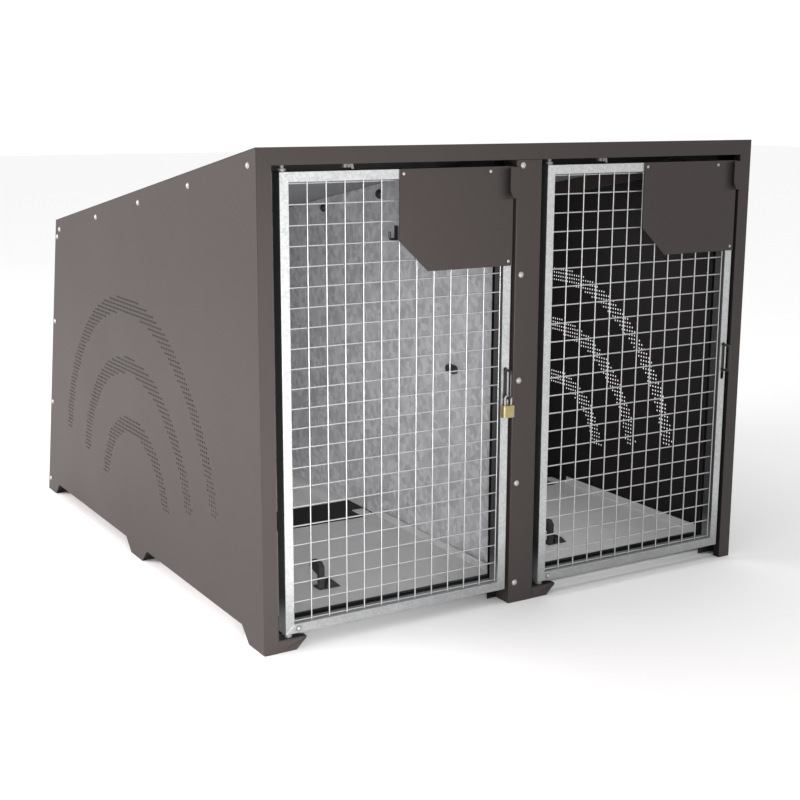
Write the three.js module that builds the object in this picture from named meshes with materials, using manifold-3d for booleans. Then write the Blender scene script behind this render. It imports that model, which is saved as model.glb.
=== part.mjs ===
// Two-bay steel bicycle locker with mesh doors. Millimetres, +Z up, doors towards -Y.
import * as THREE from 'three';
import { mergeVertices } from 'three/addons/utils/BufferGeometryUtils.js';
import Module from 'manifold-3d';

const wasm = await Module();
wasm.setup();

// Overall body
const overallWidth = 1568;
const frontHeight = 1254.5;
const rearTopHeight = 972.8;
const baseDepth = 1791.2;
const rearTopInset = 236.9;
const sheet = 2;
const fitGap = 0.3;
const overrun = 5;

// Feet under the side panels, with 45 degree shoulders
const skirtHeight = 41;
const footLength = 93;
const middleFootShare = 0.4785;
const rearFootLength = 84;

// Front frame
const postFace = 40;
const postReturn = 25;
const beamFace = 42.4;
const beamLip = 30;
const centrePostFace = 80;
const centrePostDepth = 60;
const stopOverlap = 30;
const uprightLeg = 66;
const centreUprightDepth = 36;

// Folded flanges of the roof and the rear panel
const roofSideFlange = 50;
const rearSideFlange = 40;

// Base and floor
const sillStart = 97;
const sillDepth = 34;
const sillHeight = 33;
const trayStart = 118;
const trayRearGap = 67;
const trayInset = 16;
const trayTurnUp = 22;
const trayTabWidth = 40;
const trayTabReach = 60;

// Partition between the bays
const partitionFlange = 16;

// Doors
const hingeGap = 22.5;
const latchGap = 9.5;
const doorBottomGap = 41.9;
const doorTopGap = 15.4;
const doorSetback = 5;
const tubeWidth = 25;
const tubeDepth = 40;
const tubeWall = 2;
const meshPitch = 50;
const wireSize = 4;
const wireSetback = 12.5;

// Cover plate and pull tab on each door
const coverWidth = 344;
const coverHeight = 258;
const coverThickness = 3;
const coverCornerRun = 85;
const coverCornerRise = 80;
const tabHeight = 81;
const tabInboard = 12;
const tabOverlap = 10;
const tabCornerRun = 10;
const tabCornerRise = 21;
const tabTopDrop = 2;
const scoopWidth = 37;
const scoopDepth = 2.2;

// Pivots
const pinRadius = 6;
const pinCollarRadius = 10;
const pinGrip = 19;
const pivotSetback = 12.5;
const bracketLength = 50;
const bracketTip = 78;
const bracketHeight = 30;
const bracketDepth = 32;
const bracketTipDepth = 18;
const bracketLipHeight = 3;
const padThickness = 3;
const pivotScrewInset = 36;

// Latch loop in the free stile
const loopRod = 8;
const loopHeight = 75;
const loopReach = 26;
const loopBend = 10;
const loopCentreHeight = 581.6;
const latchTravel = 22;
const slotWidth = 12;
const slotSlack = 3;
const slideBarWidth = 18;
const slideBarThickness = 4;
const slideBarSetback = tubeWall + fitGap;

// Padlock
const shackleRod = 6;
const shackleRadius = 10;
const padlockWidth = 36;
const padlockHeight = 33;
const padlockThickness = 18;
const padlockBevel = 3;
const padlockSetback = 15;
const padlockDrop = 19;
const shortLegGrip = 7;
const longLegGrip = 20;
const boreSlack = 0.4;

// Bolts with domed heads
const boltHeadRadius = 8.5;
const boltHeadHeight = 5;
const roofBoltDrop = 35;
const rearBoltInset = 21;
const edgeBoltEnd = 44;
const postBoltInset = 19;
const postBoltTop = 14;
const postBoltBottom = 58;

// Lug under the beam above each door
const lugOffset = 199;
const lugSetback = 12;
const lugWidth = 26;
const lugDepth = 12;
const lugPlate = 4;
const lugShortLeg = 9;
const lugLongLeg = 13;
const lugLegWidth = 8;
const lugScrewRadius = 3.5;

// Fittings inside the bays
const holderOffset = 246;
const holderStart = 250;
const holderWidth = 68;
const holderDepth = 40;
const holderPlate = 4;
const holderStep = 16;
const holderStepStart = 23;
const holderStepWidth = 17;
const holderPeak = 20;
const holderPeakWidth = 6;
const hornWidth = 17;
const hornDepth = 14;
const hornHeight = 76;
const hornReach = 60;
const hornArm = 30;
const hornBevel = 11;
const wallKnobRadius = 15;
const wallKnobHeight = 12;
const hookDepthPlace = 675;
const hookHeightPlace = 989;
const hookHeight = 49;
const hookReach = 25;
const hookRod = 8;
const hookLip = 12;
const hookPlateWidth = 20;
const hookPlateThickness = 3;
const eyeDepthPlace = 352;
const eyeHeightPlace = 599;
const eyeRadius = 12.5;
const eyeSpacing = 26;
const eyeHeight = 12;
const eyePlateThickness = 3;

// Perforated ripples on the side panels
const rippleDepthShare = 0.5025;
const rippleHeightShare = 0.12;
const rippleInnerShare = 0.145;
const rippleStepShare = 0.1005;
const rippleBand = 40;
const rippleSlots = [6, 8, 10];
const rippleSpanShare = 0.86;
const rippleFillShare = 0.78;

// Shape of the domed heads
const domeShoulderShare = 0.75;

// Round pieces
const roundSides = 12;
const headSides = 8;
const rodSides = 8;
const bendSteps = 3;
const shackleBendSteps = 4;
const up = new THREE.Vector3(0, 0, 1);

// Derived sizes
const rearTopDepth = baseDepth - rearTopInset;
const middleFootStart = baseDepth * middleFootShare;
const trayEnd = middleFootStart - trayRearGap;
const roofRise = frontHeight - rearTopHeight;
const roofSheetDrop = sheet * Math.hypot(1, roofRise / rearTopDepth);
const rearLean = (baseDepth - rearTopDepth) / rearTopHeight;
const rearSheetDepth = sheet * Math.hypot(1, rearLean);
const openingTop = frontHeight - beamFace;
const openingWidth = (overallWidth - centrePostFace) / 2 - postFace;
const doorWidth = openingWidth - hingeGap - latchGap;
const doorHeight = openingTop - doorTopGap - doorBottomGap;
const centreX = overallWidth / 2;
const middleFootCentre = middleFootStart + footLength / 2;
const wallInner = sheet + fitGap;

// Materials
const paint = new THREE.MeshStandardMaterial({ color: 0x5a534f, roughness: 0.55, metalness: 0.15 });
const darkPaint = new THREE.MeshStandardMaterial({ color: 0x3b3734, roughness: 0.6, metalness: 0.15 });
const galvanised = new THREE.MeshStandardMaterial({ color: 0xb7babb, roughness: 0.42, metalness: 0.85 });
const wire = new THREE.MeshStandardMaterial({ color: 0xd2d4d4, roughness: 0.35, metalness: 0.85 });
const steel = new THREE.MeshStandardMaterial({ color: 0xc4c6c8, roughness: 0.3, metalness: 0.95 });
const black = new THREE.MeshStandardMaterial({ color: 0x171717, roughness: 0.6, metalness: 0 });
const blackSteel = new THREE.MeshStandardMaterial({ color: 0x1d1c1b, roughness: 0.45, metalness: 0.5 });
const brass = new THREE.MeshStandardMaterial({ color: 0xb08a3e, roughness: 0.35, metalness: 0.9 });

// Height of the roof's upper face at a depth, and the highest place under its sheet
function roofTop(depth) {
  return frontHeight - (roofRise * depth) / rearTopDepth;
}

function underRoof(depth) {
  return roofTop(depth) - roofSheetDrop - fitGap;
}

// Depth of the rear panel's outer face at a height, and the place just in front of its sheet
function rearOuter(height) {
  return baseDepth - rearLean * height;
}

function beforeRear(height) {
  return rearOuter(height) - rearSheetDepth - fitGap;
}

// Solids and meshes
function toSolid(geometry) {
  geometry.deleteAttribute('normal');
  geometry.deleteAttribute('uv');
  const merged = mergeVertices(geometry);
  return new wasm.Manifold(new wasm.Mesh({
    numProp: 3,
    vertProperties: new Float32Array(merged.attributes.position.array),
    triVerts: new Uint32Array(merged.index.array),
  }));
}

function toGeometry(solid) {
  const mesh = solid.getMesh();
  const geometry = new THREE.BufferGeometry();
  geometry.setAttribute('position', new THREE.BufferAttribute(new Float32Array(mesh.vertProperties), 3));
  geometry.setIndex(new THREE.BufferAttribute(new Uint32Array(mesh.triVerts), 1));
  geometry.computeVertexNormals();
  return geometry;
}

function join(...solids) {
  return solids.reduce((whole, solid) => whole.add(solid));
}

function cut(solid, ...tools) {
  return tools.reduce((rest, tool) => rest.subtract(tool), solid);
}

function addPiece(parent, name, solid, material, x = 0, y = 0, z = 0) {
  const mesh = new THREE.Mesh(toGeometry(solid), material);
  mesh.name = name;
  mesh.position.set(x, y, z);
  parent.add(mesh);
  return mesh;
}

// A box between two limits on each axis
function block(x0, x1, y0, y1, z0, z1) {
  const geometry = new THREE.BoxGeometry(x1 - x0, y1 - y0, z1 - z0);
  geometry.translate((x0 + x1) / 2, (y0 + y1) / 2, (z0 + z1) / 2);
  return toSolid(geometry);
}

// A flat outline with optional holes, drawn out square to its plane
function extrude(points, depth, holes) {
  const shape = new THREE.Shape(points.map(([u, v]) => new THREE.Vector2(u, v)));
  shape.holes = holes.map((hole) => new THREE.Path(hole.map(([u, v]) => new THREE.Vector2(u, v))));
  return new THREE.ExtrudeGeometry(shape, { depth, bevelEnabled: false });
}

// Outline in Y and Z, thickness along X
function plateX(points, x0, x1, holes = []) {
  const geometry = extrude(points, x1 - x0, holes);
  const turn = new THREE.Matrix4();
  turn.makeBasis(new THREE.Vector3(0, 1, 0), new THREE.Vector3(0, 0, 1), new THREE.Vector3(1, 0, 0));
  geometry.applyMatrix4(turn);
  geometry.translate(x0, 0, 0);
  return toSolid(geometry);
}

// Outline in X and Z, thickness along Y
function plateY(points, y0, y1, holes = []) {
  const geometry = extrude(points, y1 - y0, holes);
  geometry.rotateX(Math.PI / 2);
  geometry.translate(0, y1, 0);
  return toSolid(geometry);
}

// Outline in X and Y, thickness along Z
function plateZ(points, z0, z1, holes = []) {
  const geometry = extrude(points, z1 - z0, holes);
  geometry.translate(0, 0, z0);
  return toSolid(geometry);
}

// A turned piece from radius and height pairs, standing on a place along a direction
function turned(profile, sides, place = [0, 0, 0], direction = up) {
  const geometry = new THREE.LatheGeometry(profile.map(([r, h]) => new THREE.Vector2(r, h)), sides);
  geometry.rotateX(Math.PI / 2);
  geometry.applyQuaternion(new THREE.Quaternion().setFromUnitVectors(up, direction));
  geometry.translate(...place);
  return toSolid(geometry);
}

function rod(radius, from, to, sides, place, direction) {
  return turned([[0, from], [radius, from], [radius, to], [0, to]], sides, place, direction);
}

// A domed head whose root sinks below the place by the given depth
function dome(radius, height, root, place, direction) {
  const shoulder = radius * domeShoulderShare;
  const profile = [[0, -root], [radius, -root], [shoulder, height * domeShoulderShare], [0, height]];
  return turned(profile, headSides, place, direction);
}

// A path that stops only at the given rings, so straight runs stay one step long
class RingPath extends THREE.Curve {
  constructor(rings) {
    super();
    this.rings = rings;
  }

  getUtoTmapping(u) {
    return u;
  }

  getPoint(t, target = new THREE.Vector3()) {
    const at = t * (this.rings.length - 1);
    const i = Math.min(Math.floor(at), this.rings.length - 2);
    return target.lerpVectors(this.rings[i].point, this.rings[i + 1].point, at - i);
  }

  getTangent(t, target = new THREE.Vector3()) {
    return target.copy(this.rings[Math.round(t * (this.rings.length - 1))].tangent);
  }
}

// A round rod along straight runs joined by round bends
function bentRod(corners, bend, diameter, arcSteps) {
  const runs = corners.slice(1).map((corner, i) => corner.clone().sub(corners[i]).normalize());
  const rings = [{ point: corners[0], tangent: runs[0] }];
  for (let i = 1; i < corners.length - 1; i += 1) {
    const axis = runs[i - 1].clone().cross(runs[i]).normalize();
    const turn = runs[i - 1].angleTo(runs[i]);
    const setback = bend * Math.tan(turn / 2);
    const entry = corners[i].clone().addScaledVector(runs[i - 1], -setback);
    const toCentre = axis.clone().cross(runs[i - 1]).multiplyScalar(bend);
    const centre = entry.clone().add(toCentre);
    const follows = rings[rings.length - 1].point.distanceTo(entry) < fitGap;
    for (let j = follows ? 1 : 0; j <= arcSteps; j += 1) {
      const angle = (turn * j) / arcSteps;
      rings.push({
        point: centre.clone().sub(toCentre.clone().applyAxisAngle(axis, angle)),
        tangent: runs[i - 1].clone().applyAxisAngle(axis, angle),
      });
    }
  }
  rings.push({ point: corners[corners.length - 1], tangent: runs[runs.length - 1] });
  const section = new THREE.Shape(Array.from({ length: rodSides }, (_, i) => {
    const angle = (2 * Math.PI * i) / rodSides;
    return new THREE.Vector2((diameter / 2) * Math.cos(angle), (diameter / 2) * Math.sin(angle));
  }));
  return toSolid(new THREE.ExtrudeGeometry(section, {
    steps: rings.length - 1, extrudePath: new RingPath(rings), bevelEnabled: false }));
}

// The outline that the side panels share: feet, leaning rear edge and sloping top
function sideOutline() {
  const rearFootStart = baseDepth - rearFootLength;
  const topRear = underRoof(rearTopDepth);
  return [
    [0, 0],
    [footLength, 0],
    [footLength + skirtHeight, skirtHeight],
    [middleFootStart - skirtHeight, skirtHeight],
    [middleFootStart, 0],
    [middleFootStart + footLength, 0],
    [middleFootStart + footLength + skirtHeight, skirtHeight],
    [rearFootStart - skirtHeight, skirtHeight],
    [rearFootStart, 0],
    [baseDepth, 0],
    [rearOuter(topRear), topRear],
    [0, underRoof(0)],
  ];
}

// Slots along nested arcs, one row of slots on each arc
function rippleHoles() {
  const holes = [];
  const centreDepth = baseDepth * rippleDepthShare;
  const centreHeight = frontHeight * rippleHeightShare;
  rippleSlots.forEach((count, ring) => {
    const radius = baseDepth * (rippleInnerShare + ring * rippleStepShare);
    const inner = radius - rippleBand / 2;
    const outer = radius + rippleBand / 2;
    const span = Math.PI * rippleSpanShare;
    for (let i = 0; i < count; i += 1) {
      const middle = Math.PI / 2 + span * ((i + 0.5) / count - 0.5);
      const half = (span / count / 2) * rippleFillShare;
      holes.push([[inner, middle - half], [outer, middle - half], [outer, middle + half], [inner, middle + half]]
        .map(([r, a]) => [centreDepth + r * Math.cos(a), centreHeight + r * Math.sin(a)]));
    }
  });
  return holes;
}

// Bolt places on a side panel: a row below the roof edge and a row inside the rear edge
function sideBoltPlaces() {
  const places = [];
  const lastDepth = rearTopDepth - roofBoltDrop;
  for (let i = 0; i < 5; i += 1) {
    const depth = edgeBoltEnd + ((lastDepth - edgeBoltEnd) * i) / 4;
    places.push([depth, roofTop(depth) - roofBoltDrop]);
  }
  const highest = rearTopHeight - edgeBoltEnd - beamFace / 4;
  for (let i = 0; i < 4; i += 1) {
    const height = highest + ((edgeBoltEnd - highest) * i) / 3;
    places.push([rearOuter(height) - rearBoltInset, height]);
  }
  return places;
}

// A side panel drawn as the left one, its outer face on x = 0
function sidePanel() {
  const wall = plateX(sideOutline(), 0, sheet, rippleHoles());
  const mitreTop = openingTop - fitGap;
  const faceTop = underRoof(sheet);
  const mitreRun = (postFace * (faceTop - mitreTop)) / beamFace;
  const face = plateY([
    [0, 0],
    [postFace, 0],
    [postFace, mitreTop],
    [postFace - mitreRun, faceTop],
    [0, faceTop],
  ], 0, sheet);
  const inward = block(postFace - sheet, postFace, 0, postReturn, 0, mitreTop);
  const bolts = sideBoltPlaces().map(([y, z]) => dome(
    boltHeadRadius, boltHeadHeight, sheet / 2, [0, y, z], new THREE.Vector3(-1, 0, 0)));
  return join(wall, face, inward, ...bolts);
}

function mirrored(solid, width) {
  return solid.mirror([1, 0, 0]).translate([width, 0, 0]);
}

// Roof with its front face, the lip under it and the flanges inside the side panels
function roofPanel() {
  const cover = plateX([
    [0, roofTop(0)],
    [0, roofTop(0) - roofSheetDrop],
    [rearTopDepth, rearTopHeight - roofSheetDrop],
    [rearTopDepth, rearTopHeight],
  ], 0, overallWidth);
  const face = plateY([
    [0, frontHeight],
    [postFace, openingTop],
    [overallWidth - postFace, openingTop],
    [overallWidth, frontHeight],
  ], 0, sheet);
  const lip = block(postFace + fitGap, overallWidth - postFace - fitGap, 0, beamLip, openingTop, openingTop + sheet);
  const flangeStart = centrePostDepth + uprightLeg + overrun;
  const flangeEnd = rearTopDepth - rearSideFlange - 2 * overrun;
  const flangeOutline = [
    [flangeStart, roofTop(flangeStart) - roofSheetDrop / 2],
    [flangeStart, roofTop(flangeStart) - roofSideFlange],
    [flangeEnd, roofTop(flangeEnd) - roofSideFlange],
    [flangeEnd, roofTop(flangeEnd) - roofSheetDrop / 2],
  ];
  const leftFlange = plateX(flangeOutline, wallInner, wallInner + sheet);
  const rightFlange = mirrored(leftFlange, overallWidth);
  const holes = [0, 1].map((bay) => rod(
    pinRadius + 2 * fitGap, openingTop - overrun, openingTop + sheet + overrun, roundSides,
    [bayLeft(bay) + hingeGap + tubeWidth / 2, doorSetback + pivotSetback, 0]));
  return cut(join(cover, face, lip, leftFlange, rightFlange), ...holes);
}

// Left edge of a bay's opening
function bayLeft(bay) {
  return postFace + bay * (openingWidth + centrePostFace);
}

// Leaning rear panel with a flange inside each side panel
function rearPanel() {
  const low = skirtHeight + fitGap;
  const high = underRoof(rearTopDepth);
  const back = plateX([
    [rearOuter(low), low],
    [rearOuter(high), high],
    [rearOuter(high) - rearSheetDepth, high],
    [rearOuter(low) - rearSheetDepth, low],
  ], wallInner, overallWidth - wallInner);
  const flange = plateX([
    [rearOuter(low) - rearSheetDepth / 2, low],
    [rearOuter(high) - rearSheetDepth / 2, high],
    [rearOuter(high) - rearSheetDepth - rearSideFlange, high],
    [rearOuter(low) - rearSheetDepth - rearSideFlange, low],
  ], wallInner, wallInner + sheet);
  return join(back, flange, mirrored(flange, overallWidth));
}

// Folded centre post, open at the back
function centrePost() {
  const top = openingTop - fitGap;
  const face = block(0, centrePostFace, 0, sheet, 0, top);
  const left = block(0, sheet, 0, centrePostDepth, 0, top);
  const right = block(centrePostFace - sheet, centrePostFace, 0, centrePostDepth, 0, top);
  return join(face, left, right);
}

// Stop plate behind the centre post, on two legs that run back to the partition
function centreUpright() {
  const half = centrePostFace / 2;
  const front = centrePostDepth + fitGap;
  const back = centrePostDepth + centreUprightDepth;
  const top = underRoof(back);
  const stop = block(-half - stopOverlap, half + stopOverlap, front, front + sheet, 0, top);
  const leg = block(-half - sheet, -half, front, back, 0, top);
  return join(stop, leg, leg.mirror([1, 0, 0]));
}

// Corner upright: an equal angle against the side panel
function cornerUpright() {
  const front = centrePostDepth + fitGap;
  const top = underRoof(front + uprightLeg);
  const stop = block(0, uprightLeg, front, front + sheet, 0, top);
  const leg = block(0, sheet, front, front + uprightLeg, 0, top);
  return join(stop, leg);
}

// Sheet partition with a flange along its front edge
function partitionPanel() {
  const front = centrePostDepth + centreUprightDepth + overrun - sheet;
  const low = skirtHeight + fitGap;
  const rearTop = underRoof(rearTopDepth) - sheet;
  const rearSlopeDepth = beforeRear(rearTop);
  const wall = plateX([
    [front, low],
    [beforeRear(low), low],
    [rearSlopeDepth, Math.min(rearTop, underRoof(rearSlopeDepth))],
    [front, underRoof(front)],
  ], -sheet / 2, sheet / 2);
  const flange = block(-partitionFlange / 2, partitionFlange / 2, front, front + sheet, low, underRoof(front + sheet));
  return join(wall, flange);
}

// Hollow base channel that fills the feet across the locker
function baseChannel(outer, inner) {
  const left = wallInner;
  const right = overallWidth - wallInner;
  return cut(plateX(outer, left, right), plateX(inner, left - overrun, right + overrun));
}

function middleChannel() {
  const slant = sheet * (Math.SQRT2 - 1);
  const end = middleFootStart + footLength;
  return baseChannel([
    [middleFootStart - skirtHeight, skirtHeight],
    [middleFootStart, 0],
    [end, 0],
    [end + skirtHeight, skirtHeight],
  ], [
    [middleFootStart - skirtHeight + sheet + slant + sheet, skirtHeight - sheet],
    [middleFootStart + slant, sheet],
    [end - slant, sheet],
    [end + skirtHeight - sheet - slant - sheet, skirtHeight - sheet],
  ]);
}

function rearChannel() {
  const slant = sheet * (Math.SQRT2 - 1);
  const start = baseDepth - rearFootLength;
  return baseChannel([
    [start - skirtHeight, skirtHeight],
    [start, 0],
    [rearOuter(0), 0],
    [rearOuter(skirtHeight), skirtHeight],
  ], [
    [start - skirtHeight + sheet + slant + sheet, skirtHeight - sheet],
    [start + slant, sheet],
    [rearOuter(sheet) - rearSheetDepth, sheet],
    [rearOuter(skirtHeight - sheet) - rearSheetDepth, skirtHeight - sheet],
  ]);
}

// Hollow sill between the front feet
function frontSill() {
  const left = wallInner + sheet + fitGap;
  const right = overallWidth - left;
  const low = skirtHeight - sillHeight;
  return cut(
    block(left, right, sillStart, sillStart + sillDepth, low, skirtHeight),
    block(left - overrun, right + overrun, sillStart + sheet, sillStart + sillDepth - sheet,
      low + sheet, skirtHeight - sheet));
}

// Floor tray with turned-up sides and two tabs on the middle channel
function floorTray() {
  const width = centreX - trayInset - partitionFlange / 2;
  const low = skirtHeight + fitGap;
  const high = low + sheet;
  const floor = block(0, width, trayStart, trayEnd, low, high);
  const left = block(0, sheet, trayStart, trayEnd, low, high + trayTurnUp);
  const right = block(width - sheet, width, trayStart, trayEnd, low, high + trayTurnUp);
  const tabEnd = middleFootStart - skirtHeight + trayTabReach;
  const tabs = [sheet, width - sheet - trayTabWidth].map((x) => block(
    x, x + trayTabWidth, trayEnd - overrun, tabEnd, low, high));
  return join(floor, left, right, ...tabs);
}

// Hollow door frame with a pivot hole at each end of the hinge stile and a slot in the free one
function doorFrame() {
  const wall = tubeWall;
  const tube = tubeWidth;
  const outer = block(0, doorWidth, 0, tubeDepth, 0, doorHeight);
  const window = block(tube, doorWidth - tube, -overrun, tubeDepth + overrun, tube, doorHeight - tube);
  const hollow = cut(
    block(wall, doorWidth - wall, wall, tubeDepth - wall, wall, doorHeight - wall),
    block(tube - wall, doorWidth - tube + wall, 0, tubeDepth, tube - wall, doorHeight - tube + wall));
  const hole = rod(pinRadius + fitGap, -overrun, wall + overrun, roundSides);
  const bottomHole = hole.translate([tube / 2, pivotSetback, 0]);
  const topHole = hole.translate([tube / 2, pivotSetback, doorHeight - wall]);
  return cut(outer, window, hollow, bottomHole, topHole, latchSlot());
}

function latchSlot() {
  const x = doorWidth - tubeWidth / 2;
  const low = loopCentreHeight - loopHeight / 2 - loopRod / 2 - latchTravel - slotSlack;
  const high = loopCentreHeight + loopHeight / 2 + loopRod / 2 + slotSlack;
  const radius = slotWidth / 2;
  const ends = [low + radius, high - radius].map((z) => rod(
    radius, -overrun, tubeWall + overrun, roundSides, [x, 0, z], new THREE.Vector3(0, 1, 0)));
  const middle = block(x - radius, x + radius, -overrun, tubeWall + overrun, low + radius, high - radius);
  return join(middle, ...ends);
}

// Welded mesh as one lattice that fills the frame's window, laid out between the corners of its gaps
function doorMesh() {
  const width = doorWidth - 2 * tubeWidth - 2 * fitGap;
  const height = doorHeight - 2 * tubeWidth - 2 * fitGap;
  const columns = Math.round((width - wireSize) / meshPitch);
  const rows = Math.round((height - wireSize) / meshPitch);
  const columnPitch = (width - wireSize) / columns;
  const rowPitch = (height - wireSize) / rows;
  const places = [];
  for (let i = 0; i < columns; i += 1) {
    for (let j = 0; j < rows; j += 1) {
      const [x0, x1] = [i * columnPitch + wireSize, (i + 1) * columnPitch];
      const [z0, z1] = [j * rowPitch + wireSize, (j + 1) * rowPitch];
      places.push([x0, z0], [x1, z0], [x1, z1], [x0, z1]);
    }
  }
  const rim = places.length;
  places.push([0, 0], [width, 0], [width, height], [0, height]);
  const gap = (i, j, corner) => 4 * (i * rows + j) + corner;
  const index = [];
  const rear = places.length;
  const face = (a, b, c) => index.push(a, b, c, c + rear, b + rear, a + rear);
  const quad = (a, b, c, d) => {
    face(a, b, c);
    face(a, c, d);
  };
  const wall = (a, b) => index.push(a, b, b + rear, a, b + rear, a + rear);

  for (let i = 0; i < columns; i += 1) {
    for (let j = 0; j < rows; j += 1) {
      for (let k = 0; k < 4; k += 1) wall(gap(i, j, k), gap(i, j, (k + 1) % 4));
      const right = i + 1 < columns;
      const above = j + 1 < rows;
      if (right) quad(gap(i, j, 1), gap(i + 1, j, 0), gap(i + 1, j, 3), gap(i, j, 2));
      if (above) quad(gap(i, j, 3), gap(i, j, 2), gap(i, j + 1, 1), gap(i, j + 1, 0));
      if (right && above) quad(gap(i, j, 2), gap(i + 1, j, 3), gap(i + 1, j + 1, 0), gap(i, j + 1, 1));
    }
  }

  const sides = [[], [], [], []];
  for (let i = 0; i < columns; i += 1) {
    sides[0].push(gap(i, 0, 0), gap(i, 0, 1));
    sides[2].push(gap(columns - 1 - i, rows - 1, 2), gap(columns - 1 - i, rows - 1, 3));
  }
  for (let j = 0; j < rows; j += 1) {
    sides[1].push(gap(columns - 1, j, 1), gap(columns - 1, j, 2));
    sides[3].push(gap(0, rows - 1 - j, 3), gap(0, rows - 1 - j, 0));
  }
  sides.forEach((chain, k) => {
    const from = rim + k;
    const to = rim + ((k + 1) % 4);
    for (let i = 0; i + 1 < chain.length; i += 1) face(from, chain[i + 1], chain[i]);
    face(from, to, chain[chain.length - 1]);
    wall(to, from);
  });

  const front = places.flatMap(([x, z]) => [x, -wireSize / 2, z]);
  const back = places.flatMap(([x, z]) => [x, wireSize / 2, z]);
  const geometry = new THREE.BufferGeometry();
  geometry.setAttribute('position', new THREE.Float32BufferAttribute([...front, ...back], 3));
  geometry.setIndex(index);
  return toSolid(geometry);
}

// Cover plate with a cut corner and a shallow finger scoop beside the pull tab
function coverPlate() {
  const plate = plateY([
    [coverCornerRun, 0],
    [coverWidth, 0],
    [coverWidth, coverHeight],
    [0, coverHeight],
    [0, coverCornerRise],
  ], 0, coverThickness);
  const scoopEnd = coverWidth - tabInboard;
  const scoop = plateZ([
    [scoopEnd - scoopWidth, 0],
    [scoopEnd - scoopWidth, -overrun],
    [scoopEnd, -overrun],
    [scoopEnd, scoopDepth],
  ], coverHeight - tabTopDrop - tabHeight, coverHeight - tabTopDrop);
  return cut(plate, scoop);
}

// Pull tab that laps over the post, on a rib that meets the cover plate
function pullTab() {
  const width = tabInboard + latchGap + tabOverlap;
  const back = -fitGap;
  const front = back - sheet;
  const leaf = plateY([
    [tabCornerRun, 0],
    [width, 0],
    [width, tabHeight],
    [0, tabHeight],
    [0, tabCornerRise],
  ], front, back);
  const ribDepth = doorSetback - 2 * fitGap - coverThickness;
  const rib = block(tabInboard / 2, tabInboard - fitGap, back - sheet / 2, ribDepth, tabCornerRise, tabHeight);
  return join(leaf, rib);
}

// Bent loop whose legs end on a bar that slides inside the stile
function latchLoop() {
  const half = loopHeight / 2;
  const root = slideBarSetback + slideBarThickness / 2;
  const bow = bentRod([
    new THREE.Vector3(0, root, -half),
    new THREE.Vector3(0, -loopReach, -half),
    new THREE.Vector3(0, -loopReach, half),
    new THREE.Vector3(0, root, half),
  ], loopBend, loopRod, bendSteps);
  const bar = block(
    -slideBarWidth / 2, slideBarWidth / 2, slideBarSetback, slideBarSetback + slideBarThickness,
    -half - loopRod, half + loopRod);
  return join(bow, bar);
}

// Shackle round the loop's lower leg, its origin on that leg's axis
const shackleArchHeight = loopRod / 2 + fitGap - shackleRadius + shackleRod / 2;

function padlockShackle() {
  const arch = shackleArchHeight + shackleRadius;
  return bentRod([
    new THREE.Vector3(-shackleRadius, 0, -padlockDrop - longLegGrip),
    new THREE.Vector3(-shackleRadius, 0, arch),
    new THREE.Vector3(shackleRadius, 0, arch),
    new THREE.Vector3(shackleRadius, 0, -padlockDrop - shortLegGrip),
  ], shackleRadius, shackleRod, shackleBendSteps);
}

// Padlock body with bevelled edges and a bore for each leg of the shackle
function padlockBody() {
  const halfWidth = padlockWidth / 2;
  const halfThickness = padlockThickness / 2;
  const bevel = padlockBevel;
  const shell = plateZ([
    [-halfWidth + bevel, -halfThickness],
    [halfWidth - bevel, -halfThickness],
    [halfWidth, -halfThickness + bevel],
    [halfWidth, halfThickness - bevel],
    [halfWidth - bevel, halfThickness],
    [-halfWidth + bevel, halfThickness],
    [-halfWidth, halfThickness - bevel],
    [-halfWidth, -halfThickness + bevel],
  ], -padlockHeight, 0);
  const radius = shackleRod / 2 + boreSlack;
  const longBore = rod(radius, -longLegGrip - overrun, overrun, roundSides, [-shackleRadius, 0, 0]);
  const shortBore = rod(radius, -shortLegGrip - overrun / 2, overrun, roundSides, [shackleRadius, 0, 0]);
  return cut(shell, longBore, shortBore);
}

// Foot bracket under the hinge stile, its slanted nose towards the door's middle
function bottomBracket() {
  const side = plateY([
    [0, 0],
    [bracketLength, 0],
    [bracketTip, bracketHeight - bracketLipHeight],
    [bracketTip, bracketHeight],
    [0, bracketHeight],
  ], 0, bracketDepth);
  const plan = plateZ(bracketPlan(), -overrun, bracketHeight + overrun);
  const hole = rod(
    pinRadius + fitGap, bracketHeight / 3, bracketHeight + overrun, roundSides, pivotPlace());
  return cut(side.intersect(plan), hole);
}

function bracketPlan() {
  return [[0, 0], [bracketTip, 0], [bracketTip, bracketTipDepth], [bracketLength, bracketDepth], [0, bracketDepth]];
}

// Pivot axis measured from the bracket's corner
function pivotPlace() {
  return [hingeGap - fitGap + tubeWidth / 2, doorSetback + pivotSetback, 0];
}

function bracketPad() {
  const plate = plateZ(bracketPlan(), 0, padThickness);
  return cut(plate, rod(pinRadius + fitGap, -overrun, padThickness + overrun, roundSides, pivotPlace()));
}

// Pin that stands in the foot bracket; its collar carries the door
function bottomPin() {
  const foot = bracketHeight / 3 + fitGap;
  const collarLow = bracketHeight + padThickness + 2 * fitGap;
  const collarHigh = doorBottomGap - fitGap;
  return turned([
    [0, foot],
    [pinRadius, foot],
    [pinRadius, collarLow],
    [pinCollarRadius, collarLow],
    [pinCollarRadius, collarHigh],
    [pinRadius, collarHigh],
    [pinRadius, doorBottomGap + pinGrip],
    [0, doorBottomGap + pinGrip],
  ], roundSides);
}

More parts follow.
